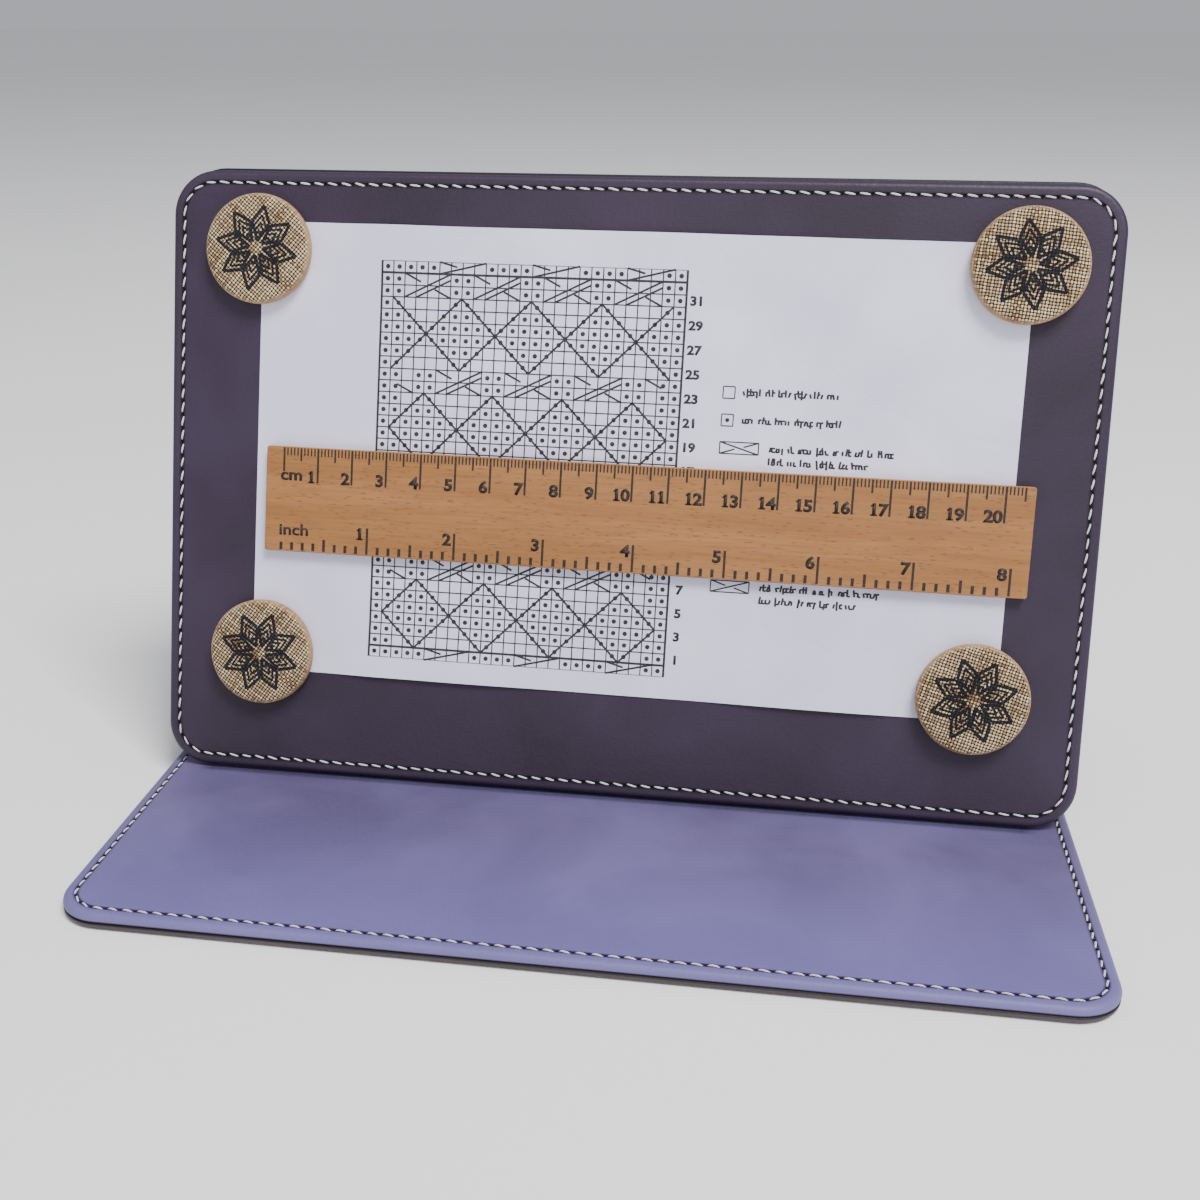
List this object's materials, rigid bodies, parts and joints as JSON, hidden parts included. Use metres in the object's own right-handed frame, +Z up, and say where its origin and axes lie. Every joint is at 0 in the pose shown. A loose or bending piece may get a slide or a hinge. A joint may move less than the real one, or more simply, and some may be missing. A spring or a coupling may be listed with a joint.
{
  "type": "knitting pattern holder",
  "caption": "Folding knitting pattern holder: a stitched faux leather stand with a magnetic display leaf, covered button magnets and a sliding row ruler.",
  "frame": {"origin": "centre of the bounding box's underside, on the table", "axes": "+X along the leaves' long side to the reader's right, +Y away from the reader, +Z up"},
  "size_m": [0.261, 0.1804, 0.1713],
  "materials": {
    "dark_leather": "fine grained faux leather, matt",
    "lavender_leather": "smooth faux leather, soft sheen",
    "grey_board": "pressed grey board",
    "steel_sheet": "thin tinned steel sheet",
    "thread": "twisted polyester thread",
    "magnet": "nickel plated magnet",
    "paper": "printed office paper",
    "beech": "beech, oiled, with engraved marks",
    "linen": "woven linen with a dark print",
    "tinned_steel": "pressed tinned steel"
  },
  "bodies": {
    "base": {"base_top_skin": "lavender_leather", "base_board": "grey_board", "base_bottom_skin": "dark_leather", "base_thread": "thread", "foot_magnet_left": "magnet", "foot_magnet_right": "magnet", "spine_strip": "dark_leather"},
    "strut": {"strut_outer_skin": "dark_leather", "strut_board": "grey_board", "strut_inner_skin": "lavender_leather", "strut_thread": "thread", "top_hinge_strip": "lavender_leather"},
    "display": {"display_front_skin": "dark_leather", "display_steel_sheet": "steel_sheet", "display_board": "grey_board", "display_back_skin": "lavender_leather", "display_thread": "thread", "pattern_sheet": "paper"},
    "ruler": {"ruler_body": "beech", "ruler_magnet_left": "magnet", "ruler_magnet_right": "magnet"},
    "top_left_button": {"top_left_button_cover": "linen", "top_left_button_cap": "tinned_steel", "top_left_button_back_plate": "tinned_steel", "top_left_button_magnet": "magnet"},
    "top_right_button": {"top_right_button_cover": "linen", "top_right_button_cap": "tinned_steel", "top_right_button_back_plate": "tinned_steel", "top_right_button_magnet": "magnet"},
    "bottom_left_button": {"bottom_left_button_cover": "linen", "bottom_left_button_cap": "tinned_steel", "bottom_left_button_back_plate": "tinned_steel", "bottom_left_button_magnet": "magnet"},
    "bottom_right_button": {"bottom_right_button_cover": "linen", "bottom_right_button_cap": "tinned_steel", "bottom_right_button_back_plate": "tinned_steel", "bottom_right_button_magnet": "magnet"}
  },
  "joints": [
    {"name": "strut_fold", "type": "hinge", "parent": "base", "child": "strut", "pos_m": [0, 0.08631, 0.0071], "axis": [1, 0, 0], "range_deg": [-14.5, 14], "deforming": ["spine_strip"]},
    {"name": "board_fold", "type": "hinge", "parent": "strut", "child": "display", "pos_m": [0, 0.03963, 0.16935], "axis": [1, 0, 0], "range_deg": [-28, 29], "deforming": ["top_hinge_strip"]},
    {"name": "ruler_slide", "type": "slide", "parent": "display", "child": "ruler", "axis": [0, 0.2588, 0.9659], "range_m": [-0.0116, 0.0386]},
    {"name": "top_left_button_pull", "type": "slide", "parent": "display", "child": "top_left_button", "axis": [0, -0.9659, 0.2588], "range_m": [0, 0.02]},
    {"name": "top_right_button_pull", "type": "slide", "parent": "display", "child": "top_right_button", "axis": [0, -0.9659, 0.2588], "range_m": [0, 0.02]},
    {"name": "bottom_left_button_pull", "type": "slide", "parent": "display", "child": "bottom_left_button", "axis": [0, -0.9659, 0.2588], "range_m": [0, 0.02]},
    {"name": "bottom_right_button_pull", "type": "slide", "parent": "display", "child": "bottom_right_button", "axis": [0, -0.9659, 0.2588], "range_m": [0, 0.02]}
  ],
  "couplings": [
    {"joint": "board_fold", "follows": "strut_fold", "ratio": -2}
  ]
}
